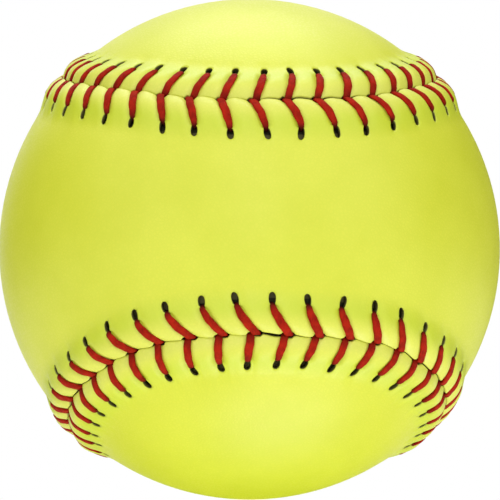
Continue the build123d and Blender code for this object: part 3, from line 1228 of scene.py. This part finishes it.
class NodeBench:
    """A node tree that is being laid out, with short ways to add and join nodes."""

    def __init__(self, tree: bpy.types.NodeTree) -> None:
        """Starts on a tree, which loses its nodes."""
        self.tree = tree
        tree.nodes.clear()

    def add(self, kind: str, **settings: object) -> bpy.types.Node:
        """Adds a node.

        Args:
            kind: The node's type.
            settings: Properties of the node, by name.

        Returns:
            The node.
        """
        node = self.tree.nodes.new(kind)
        for name, value in settings.items():
            setattr(node, name, value)
        return node

    def put(self, socket: bpy.types.NodeSocket, value: Feed) -> None:
        """Sets one input.

        Args:
            socket: The input.
            value: A value, or another node's output.
        """
        if isinstance(value, bpy.types.NodeSocket):
            self.tree.links.new(value, socket)
        else:
            socket.default_value = value

    def feed(self, node: bpy.types.Node, **inputs: Feed) -> bpy.types.Node:
        """Sets inputs of a node to values or to other nodes' outputs.

        Args:
            node: The node.
            inputs: Values or outputs by input name, with _ for a space.

        Returns:
            The node.
        """
        for name, value in inputs.items():
            self.put(node.inputs[name.replace("_", " ")], value)
        return node

    def math(self, operation: str, first: Feed, second: Feed = 0.0) -> bpy.types.NodeSocket:
        """Works on one or two values.

        Args:
            operation: What the Math node does.
            first: First value or output.
            second: Second value or output.

        Returns:
            The result.
        """
        node = self.add("ShaderNodeMath", operation=operation)
        for socket, value in zip(node.inputs, (first, second)):
            self.put(socket, value)
        return node.outputs[0]

    def times(self, first: Feed, second: Feed) -> bpy.types.NodeSocket:
        """Product of two values."""
        return self.math("MULTIPLY", first, second)

    def plus(self, first: Feed, second: Feed) -> bpy.types.NodeSocket:
        """Sum of two values."""
        return self.math("ADD", first, second)

    def rest(self, share: Feed) -> bpy.types.NodeSocket:
        """What a share leaves of one."""
        return self.math("SUBTRACT", 1.0, share)

    def ramp(self, value: bpy.types.NodeSocket, low: float, high: float) -> bpy.types.NodeSocket:
        """Grades a value softly.

        Args:
            value: The value.
            low: Where the grade is 0.
            high: Where the grade is 1.

        Returns:
            The grade.
        """
        node = self.add("ShaderNodeMapRange", interpolation_type="SMOOTHSTEP")
        self.feed(node, Value=value, From_Min=low, From_Max=high)
        return node.outputs["Result"]

    def mix(self, share: Feed, first: Feed, second: Feed) -> bpy.types.NodeSocket:
        """Mixes two colours.

        Args:
            share: Share of the second colour.
            first: First colour.
            second: Second colour.

        Returns:
            The mixed colour.
        """
        node = self.add("ShaderNodeMix", data_type="RGBA")
        for number, value in zip(MIX_INPUTS, (share, first, second)):
            self.put(node.inputs[number], value)
        return node.outputs[MIX_OUTPUT]

    def mark(self, name: str) -> bpy.types.NodeSocket:
        """A value that the mesh holds at each corner."""
        return self.add("ShaderNodeAttribute", attribute_name=name).outputs["Fac"]


class FinishGroup(Enum):
    """Shared effects, each one node group."""

    MOTTLE = "soft_mottle"
    GRAIN = "leather_grain"


class GroupBench(NodeBench):
    """A shared node group that is being laid out, with its named inputs and outputs."""

    def __init__(
        self, group: FinishGroup, inputs: dict[str, tuple[str, Feed | None]], outputs: dict[str, str]
    ) -> None:
        """Starts a group.

        Args:
            group: Which group.
            inputs: Socket kind and first value by input name.
            outputs: Socket kind by output name.
        """
        super().__init__(bpy.data.node_groups.new(group.value, "ShaderNodeTree"))
        for name, (kind, value) in inputs.items():
            socket = self.tree.interface.new_socket(name=name, in_out="INPUT", socket_type=kind)
            if value is not None:
                socket.default_value = value
        for name, kind in outputs.items():
            self.tree.interface.new_socket(name=name, in_out="OUTPUT", socket_type=kind)
        self.source = self.add("NodeGroupInput").outputs
        self.target = self.add("NodeGroupOutput")


@dataclass(frozen=True)
class Mottle:
    """Soft uneven colour between two tones, as a shared group."""

    detail: float = 6.0
    roughness: float = 0.55
    contrast: tuple[float, float] = (0.3, 0.7)

    def make(self) -> None:
        """Builds the group."""
        colour = "NodeSocketColor"
        bench = GroupBench(
            FinishGroup.MOTTLE,
            {
                "Vector": ("NodeSocketVector", None),
                "Scale": ("NodeSocketFloat", 40.0),
                "Deep Tone": (colour, (0.5, 0.5, 0.5, 1.0)),
                "Light Tone": (colour, (0.8, 0.8, 0.8, 1.0)),
            },
            {"Colour": colour, "Mask": "NodeSocketFloat"},
        )
        noise = bench.add("ShaderNodeTexNoise")
        bench.feed(noise, Vector=bench.source["Vector"], Scale=bench.source["Scale"])
        bench.feed(noise, Detail=self.detail, Roughness=self.roughness)
        mask = bench.ramp(noise.outputs["Fac"], *self.contrast)
        mixed = bench.mix(mask, bench.source["Deep Tone"], bench.source["Light Tone"])
        bench.feed(bench.target, Colour=mixed, Mask=mask)


@dataclass(frozen=True)
class Grain:
    """Fine pebbles, pores and creases of a skin, as a shared group. Lengths are in metres."""

    warp_scale: float = 900.0
    warp_detail: float = 2.0
    warp: float = 0.0006
    pebble_edge: float = 0.32
    pebble_height: float = 0.7
    pore_scale: float = 4200.0
    pore_detail: float = 3.0
    pore_roughness: float = 0.6
    pore_height: float = 0.5

    def make(self) -> None:
        """Builds the group."""
        bench = GroupBench(
            FinishGroup.GRAIN,
            {"Vector": ("NodeSocketVector", None), "Pebbles": ("NodeSocketFloat", 1500.0)},
            {"Height": "NodeSocketFloat", "Creases": "NodeSocketFloat"},
        )
        places = bench.source["Vector"]
        warp = bench.add("ShaderNodeTexNoise")
        bench.feed(warp, Vector=places, Scale=self.warp_scale, Detail=self.warp_detail)
        bend = bench.add("ShaderNodeVectorMath", operation="MULTIPLY_ADD")
        for socket, value in zip(bend.inputs, (warp.outputs["Color"], (self.warp,) * 3, places)):
            bench.put(socket, value)
        cells = bench.add("ShaderNodeTexVoronoi", feature="DISTANCE_TO_EDGE")
        bench.feed(cells, Vector=bend.outputs[0], Scale=bench.source["Pebbles"])
        pebble = bench.ramp(cells.outputs["Distance"], 0.0, self.pebble_edge)
        pores = bench.add("ShaderNodeTexNoise")
        bench.feed(pores, Vector=places, Scale=self.pore_scale)
        bench.feed(pores, Detail=self.pore_detail, Roughness=self.pore_roughness)
        pore = bench.times(pores.outputs["Fac"], self.pore_height)
        height = bench.plus(bench.times(pebble, self.pebble_height), pore)
        bench.feed(bench.target, Height=height, Creases=bench.rest(pebble))


class Finish:
    """A material that is being laid out, with its shader and object coordinates."""

    def __init__(self, name: str) -> None:
        """Starts a material with a shader and an output.

        Args:
            name: The material's name.
        """
        self.material = bpy.data.materials.new(name)
        self.material.use_nodes = True
        self.bench = NodeBench(self.material.node_tree)
        self.output = self.bench.add("ShaderNodeOutputMaterial")
        self.shader = self.bench.add("ShaderNodeBsdfPrincipled")
        self.bench.feed(self.output, Surface=self.shader.outputs[0])
        self.places = self.bench.add("ShaderNodeTexCoord").outputs["Object"]

    def group(self, group: FinishGroup, **inputs: Feed) -> bpy.types.Node:
        """Places a shared group with its own values.

        Args:
            group: Which group.
            inputs: Values or outputs by input name, with _ for a space.

        Returns:
            The group node.
        """
        node = self.bench.add("ShaderNodeGroup", node_tree=bpy.data.node_groups[group.value])
        return self.bench.feed(node, Vector=self.places, **inputs)

    def mottle(self, patches: float, deep: Colour, light: Colour) -> bpy.types.NodeSocket:
        """Places the shared mottle.

        Args:
            patches: Scale of its patches.
            deep: Its darker tone.
            light: Its lighter tone.

        Returns:
            The mottled colour.
        """
        node = self.group(FinishGroup.MOTTLE, Scale=patches, Deep_Tone=deep, Light_Tone=light)
        return node.outputs["Colour"]

    def bump(self, height: bpy.types.NodeSocket, strength: float, distance: float) -> None:
        """Roughens the shader's normal.

        Args:
            height: Height over the surface.
            strength: How much of the bump shows.
            distance: Height in metres where the value is 1.
        """
        node = self.bench.add("ShaderNodeBump")
        self.bench.feed(node, Height=height, Strength=strength, Distance=distance)
        self.bench.feed(self.shader, Normal=node.outputs[0])


@dataclass(frozen=True)
class LeatherFinish:
    """Optic yellow leather with a dye and a seal on its face, and a deep olive colour on its cut edges, hole
    walls and inner side, which is painted shade in the holes and in the gap at the seam.

    Painted shade makes the colour greener at the foot of the lip and in the grain's creases, and a painted
    highlight makes it paler along the edge. These ranges are in millimetres from the seam.
    """

    light: Colour = (0.77, 0.81, 0.060, 1.0)
    deep: Colour = (0.715, 0.76, 0.042, 1.0)
    # Painted shade: the greener tone laid at the foot of the lip and in the grain's creases
    shade_green: Colour = (0.56, 0.70, 0.030, 1.0)
    # Painted highlight: the paler tone laid along the lip's edge near the seam
    pale: Colour = (0.84, 0.84, 0.20, 1.0)
    # Painted shade: the deep olive colour of the cut faces, which darkens the holes and the seam gap
    cut_shade: Colour = (0.16, 0.142, 0.045, 1.0)
    patches: float = 55.0
    pebbles: float = 1500.0
    foot_shade_start: tuple[float, float] = (2.2, 5.0)
    foot_shade_end: tuple[float, float] = (5.5, 9.5)
    foot_shade_share: float = 0.5
    edge_highlight_end: tuple[float, float] = (0.8, 5.5)
    edge_highlight_share: float = 0.45
    crease_shade_share: float = 0.16
    roughness: float = 0.34
    crease_roughness: float = 0.14
    gloss: float = 0.6
    bump_strength: float = 0.22
    bump_height: float = 0.00006

    def make(self) -> bpy.types.Material:
        """Builds the material.

        Returns:
            The material.
        """
        finish = Finish("optic_yellow_leather")
        bench = finish.bench
        mottled = finish.mottle(self.patches, self.deep, self.light)
        grain = finish.group(FinishGroup.GRAIN, Pebbles=self.pebbles)
        creases = grain.outputs["Creases"]
        reach = bench.mark("from_seam")
        # Painted shade: greener at the foot of the lip
        foot = bench.times(bench.ramp(reach, *self.foot_shade_start), bench.rest(bench.ramp(reach, *self.foot_shade_end)))
        # Painted highlight: paler along the lip's edge near the seam
        edge = bench.rest(bench.ramp(reach, *self.edge_highlight_end))
        painted_light_tone = bench.mix(bench.times(foot, self.foot_shade_share), mottled, self.shade_green)
        painted_light_tone = bench.mix(bench.times(edge, self.edge_highlight_share), painted_light_tone, self.pale)
        # Painted shade: greener in the grain's creases
        crease_shaded = bench.mix(bench.times(creases, self.crease_shade_share), painted_light_tone, self.shade_green)
        # Painted shade on the cut faces, in the holes and at the seam gap
        colour = bench.mix(bench.mark("cut_face_shade"), crease_shaded, self.cut_shade)
        rough = bench.plus(self.roughness, bench.times(creases, self.crease_roughness))
        bench.feed(finish.shader, Base_Color=colour, Roughness=rough, Specular_IOR_Level=self.gloss)
        finish.bump(grain.outputs["Height"], self.bump_strength, self.bump_height)
        return finish.material


@dataclass(frozen=True)
class ThreadFinish:
    """Red waxed thread with fibres along its plies, with painted shade that makes it darker in its holes,
    where it dives at the seam and towards the ends of its legs.
    """

    light: Colour = (0.49, 0.019, 0.006, 1.0)
    deep: Colour = (0.23, 0.008, 0.003, 1.0)
    # Colour of the painted shade on the thread
    painted_shade: Colour = (0.05, 0.006, 0.004, 1.0)
    patches: float = 700.0
    plies: float = 3.0
    lay_turn: float = 2.4
    fibre_stretch: float = 0.35
    fibre_scale: float = 2.2
    fibre_detail: float = 4.0
    fibre_roughness: float = 0.6
    fibre_contrast: tuple[float, float] = (0.35, 0.68)
    fibre_share: float = 0.6
    roughness: float = 0.48
    dry_roughness: float = 0.18
    gloss: float = 0.06
    bump_strength: float = 0.5
    bump_height: float = 0.00008

    def make(self) -> bpy.types.Material:
        """Builds the material.

        Returns:
            The material.
        """
        finish = Finish("red_waxed_thread")
        bench = finish.bench
        run, turn = bench.mark("thread_run"), bench.mark("thread_round")
        slant = bench.math("SUBTRACT", bench.times(turn, self.plies), bench.times(run, self.lay_turn))
        lay = bench.add("ShaderNodeCombineXYZ")
        bench.feed(lay, X=slant, Y=bench.times(run, self.fibre_stretch))
        fibres = bench.add("ShaderNodeTexNoise")
        bench.feed(fibres, Vector=lay.outputs[0], Scale=self.fibre_scale)
        bench.feed(fibres, Detail=self.fibre_detail, Roughness=self.fibre_roughness)
        strands = bench.ramp(fibres.outputs["Fac"], *self.fibre_contrast)
        mottled = finish.mottle(self.patches, self.deep, self.light)
        colour = bench.mix(bench.times(strands, self.fibre_share), mottled, self.light)
        # Painted shade: the thread turns darker by its share of painted shade
        colour = bench.mix(bench.mark("shade_share"), colour, self.painted_shade)
        rough = bench.plus(self.roughness, bench.times(strands, self.dry_roughness))
        bench.feed(finish.shader, Base_Color=colour, Roughness=rough, Specular_IOR_Level=self.gloss)
        finish.bump(strands, self.bump_strength, self.bump_height)
        return finish.material


@dataclass(frozen=True)
class InnerFinish:
    """A matte inner material, uneven in tone: moulded foam or dried cement."""

    name: str
    light: Colour
    deep: Colour
    roughness: float
    pebbles: float
    patches: float = 180.0
    gloss: float = 0.2
    bump_strength: float = 0.3
    bump_height: float = 0.0001

    def make(self) -> bpy.types.Material:
        """Builds the material.

        Returns:
            The material.
        """
        finish = Finish(self.name)
        mottled = finish.mottle(self.patches, self.deep, self.light)
        grain = finish.group(FinishGroup.GRAIN, Pebbles=self.pebbles)
        finish.bench.feed(finish.shader, Base_Color=mottled, Roughness=self.roughness)
        finish.bench.feed(finish.shader, Specular_IOR_Level=self.gloss)
        finish.bump(grain.outputs["Height"], self.bump_strength, self.bump_height)
        return finish.material


@dataclass
class Ball:
    """The whole ball: its cover, its threads and what lies inside."""

    seam: SeamLine = field(default_factory=SeamLine)
    front_lip: RolledLip = RolledLip(valley_height=0.80)
    back_lip: RolledLip = RolledLip(valley_height=0.42)
    foam: InnerFinish = InnerFinish(
        name="moulded_foam",
        light=(0.080, 0.074, 0.036, 1.0),
        deep=(0.052, 0.048, 0.024, 1.0),
        roughness=0.6,
        pebbles=900.0,
    )
    cement: InnerFinish = InnerFinish(
        name="dried_cement",
        light=(0.18, 0.158, 0.060, 1.0),
        deep=(0.11, 0.096, 0.036, 1.0),
        roughness=0.45,
        pebbles=600.0,
    )

    def build(self) -> None:
        """Builds and dresses every piece."""
        stitching = Stitching(self.seam)
        self._cover(stitching)
        self._threads(stitching)
        self._dress(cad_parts["core"], self.foam.make())
        cement = self.cement.make()
        for node in ("front_cement_film", "back_cement_film"):
            self._dress(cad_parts[node], cement)

    def _cover(self, stitching: Stitching) -> None:
        """Builds the two leather panels.

        Args:
            stitching: Where the holes and the legs of thread lie.
        """
        leather = LeatherFinish().make()
        front = CoverPanel(
            name="front_panel",
            node="front_cover_panel",
            side=Side.FRONT,
            seam=self.seam,
            lip=self.front_lip,
            stitching=stitching,
        )
        back = CoverPanel(
            name="back_panel",
            node="back_cover_panel",
            side=Side.BACK,
            seam=self.seam,
            lip=self.back_lip,
            stitching=stitching,
            hole_past_leg=0.80,
            hole_half_length=1.28,
            hole_half_width=0.76,
        )
        for panel in (front, back):
            self._dress(panel.build(), leather)

    def _threads(self, stitching: Stitching) -> None:
        """Sews the two threads.

        Args:
            stitching: Where the holes and the legs of thread lie.
        """
        red = ThreadFinish().make()
        lips = {Side.FRONT: self.front_lip, Side.BACK: self.back_lip}
        for name, node, side in (
            ("first_thread", "first_needle_thread", Side.FRONT),
            ("second_thread", "second_needle_thread", Side.BACK),
        ):
            self._dress(SewingThread(name, node, side, self.seam, lips, stitching).build(), red)

    def _dress(self, piece: bpy.types.Object, material: bpy.types.Material) -> None:
        """Gives a piece its material and reports it.

        Args:
            piece: The piece.
            material: Its only material.
        """
        piece.data.materials.clear()
        piece.data.materials.append(material)
        log.info("%s: %d faces, %s", piece.name, len(piece.data.polygons), material.name)


@dataclass(frozen=True)
class SoftBox:
    """A soft lamp that faces the ball. Place and size are in metres, power in watts."""

    name: str
    place: tuple[float, float, float]
    wide: float
    tall: float
    power: float

    def hang(self) -> None:
        """Hangs the lamp and reports it."""
        lamp = bpy.data.lights.new(self.name, "AREA")
        lamp.shape = "RECTANGLE"
        lamp.size = self.wide
        lamp.size_y = self.tall
        lamp.energy = self.power
        holder = bpy.data.objects.new(self.name, lamp)
        holder.location = self.place
        holder.rotation_mode = "QUATERNION"
        holder.rotation_quaternion = (-Vector(self.place)).to_track_quat("-Z", "Y")
        bpy.context.scene.collection.objects.link(holder)
        log.info("%s: %.1f W", self.name, self.power)


@dataclass
class Studio:
    """Floor, soft light, white surround and the camera of the photograph. Lengths are in metres.

    In the surround, a share of light comes from the whole room and the rest from white screens in front, and
    tan cloths hang at the sides. Their edges are given in parts of a unit direction.
    """

    seam: SeamLine
    camera_distance: float = 0.97
    lens: float = 360.0
    sensor: float = 36.0
    nearest: float = 0.05
    farthest: float = 50.0
    tilt: float = math.radians(-7.81)
    roll: float = math.radians(-1.01)
    swing: float = math.radians(5.67)
    offset_x: float = 0.00008
    offset_y: float = -0.00013
    floor_half: float = 4.0
    floor_deep: Colour = (0.84, 0.84, 0.84, 1.0)
    floor_light: Colour = (0.88, 0.88, 0.88, 1.0)
    floor_patches: float = 6.0
    floor_roughness: float = 0.8
    floor_gloss: float = 0.1
    floor_fade: tuple[float, float] = (0.15, 0.6)
    white: Colour = (1.0, 1.0, 1.0, 1.0)
    room_light: float = 0.55
    screen_light: float = 0.45
    screen_edge: tuple[float, float] = (-0.2, 0.3)
    cloth_tone: Colour = (1.0, 0.86, 0.35, 1.0)
    cloth_shade: float = 0.95
    cloth_shift: float = 0.06
    cloth_slant: float = 0.5
    cloth_edge: tuple[float, float] = (0.68, 0.92)
    soft_boxes: tuple[SoftBox, ...] = (
        SoftBox("front_strip", (-0.08, -1.25, 0.55), wide=0.25, tall=2.0, power=2.6),
        SoftBox("low_soft_box", (0.2, 0.0, -1.2), wide=0.8, tall=0.8, power=7.0),
        SoftBox("top_soft_box", (0.03, 0.35, 1.2), wide=0.8, tall=0.8, power=5.0),
    )

    def build(self) -> None:
        """Builds everything round the ball."""
        self._floor()
        self._world()
        for box in self.soft_boxes:
            box.hang()
        self._camera()

    def _turn(self) -> Matrix:
        """Turn from the part's frame to the camera's, which looks along +Y with +Z up."""
        tilted = Matrix.Rotation(self.roll, 3, "Y") @ Matrix.Rotation(self.tilt, 3, "X")
        return tilted @ Matrix.Rotation(self.swing, 3, "Z")

    def _camera(self) -> None:
        """Places the camera where the photograph was taken from."""
        back = self._turn().transposed()
        right, ahead, up = (back @ Vector(axis) for axis in ((1, 0, 0), (0, 1, 0), (0, 0, 1)))
        lens = bpy.data.cameras.new("camera")
        lens.lens = self.lens
        lens.sensor_width = self.sensor
        lens.clip_start = self.nearest
        lens.clip_end = self.farthest
        camera = bpy.data.objects.new("camera", lens)
        axes = Matrix((right, up, -ahead)).transposed().to_4x4()
        place = -ahead * self.camera_distance + right * self.offset_x + up * self.offset_y
        camera.matrix_world = Matrix.Translation(place) @ axes
        bpy.context.scene.collection.objects.link(camera)
        bpy.context.scene.camera = camera
        log.info("camera at %s", [round(value, 4) for value in place])

    def _floor(self) -> None:
        """Lays a pale floor under the ball, seen only from above and fading into white."""
        half, low = self.floor_half / MM, -self.seam.ball_radius
        corners = np.array(((-half, -half, low), (half, -half, low), (half, half, low), (-half, half, low)))
        floor = write_mesh("floor", corners, [np.array(((0, 1, 2, 3),))])
        finish = Finish("pale_floor")
        bench = finish.bench
        mottled = finish.mottle(self.floor_patches, self.floor_deep, self.floor_light)
        bench.feed(finish.shader, Base_Color=mottled, Roughness=self.floor_roughness)
        bench.feed(finish.shader, Specular_IOR_Level=self.floor_gloss)
        path = bench.add("ShaderNodeLightPath").outputs
        below = bench.add("ShaderNodeNewGeometry").outputs["Backfacing"]
        length = bench.add("ShaderNodeVectorMath", operation="LENGTH")
        bench.put(length.inputs[0], finish.places)
        far = bench.ramp(length.outputs["Value"], *self.floor_fade)
        unseen = bench.times(path["Is Camera Ray"], bench.math("MAXIMUM", below, far))
        lit_through = bench.math("MAXIMUM", unseen, path["Is Shadow Ray"])
        clear = bench.add("ShaderNodeBsdfTransparent")
        mixer = bench.add("ShaderNodeMixShader")
        for socket, value in zip(mixer.inputs, (lit_through, finish.shader.outputs[0], clear.outputs[0])):
            bench.put(socket, value)
        bench.feed(finish.output, Surface=mixer.outputs[0])
        floor.data.materials.append(finish.material)

    def _world(self) -> None:
        """Gives a soft surround that the camera sees as white."""
        world = bpy.data.worlds.new("white_surround")
        world.use_nodes = True
        bench = NodeBench(world.node_tree)
        path = bench.add("ShaderNodeLightPath").outputs
        seen = bench.math("MAXIMUM", path["Is Camera Ray"], path["Is Transmission Ray"])
        parts = bench.add("ShaderNodeSeparateXYZ")
        bench.put(parts.inputs[0], bench.add("ShaderNodeTexCoord").outputs["Generated"])
        glow = bench.math("MAXIMUM", self._glow(bench, parts), path["Is Glossy Ray"])
        cloth = bench.times(self._cloths(bench, parts), bench.rest(seen))
        shaded = bench.times(glow, bench.rest(bench.times(cloth, self.cloth_shade)))
        colour = bench.mix(cloth, self.white, self.cloth_tone)
        strength = bench.math("MAXIMUM", seen, shaded)
        surround = bench.feed(bench.add("ShaderNodeBackground"), Color=colour, Strength=strength)
        bench.feed(bench.add("ShaderNodeOutputWorld"), Surface=surround.outputs[0])
        bpy.context.scene.world = world
        bpy.context.scene.view_settings.view_transform = "Standard"

    def _glow(self, bench: NodeBench, parts: bpy.types.Node) -> bpy.types.NodeSocket:
        """Light from each direction: white screens in front, and a dimmer room behind.

        Args:
            bench: The world's nodes.
            parts: The direction's X, Y and Z.

        Returns:
            Strength of the light.
        """
        ahead = bench.ramp(bench.times(parts.outputs["Y"], -1.0), *self.screen_edge)
        return bench.plus(self.room_light, bench.times(ahead, self.screen_light))

    def _cloths(self, bench: NodeBench, parts: bpy.types.Node) -> bpy.types.NodeSocket:
        """Where the tan cloths hang that keep the white surround off the ball's left and right sides.

        Args:
            bench: The world's nodes.
            parts: The direction's X, Y and Z.

        Returns:
            A mask of the cloths.
        """
        beside = bench.math("ABSOLUTE", bench.plus(parts.outputs["X"], self.cloth_shift))
        behind = bench.times(parts.outputs["Y"], self.cloth_slant)
        return bench.ramp(bench.plus(beside, behind), *self.cloth_edge)


def main() -> None:
    """Builds the ball and the studio in order."""
    logging.basicConfig(level=logging.INFO, format="%(message)s")
    Mottle().make()
    Grain().make()
    ball = Ball()
    ball.build()
    Studio(ball.seam).build()


if __name__ == "__main__":
    main()
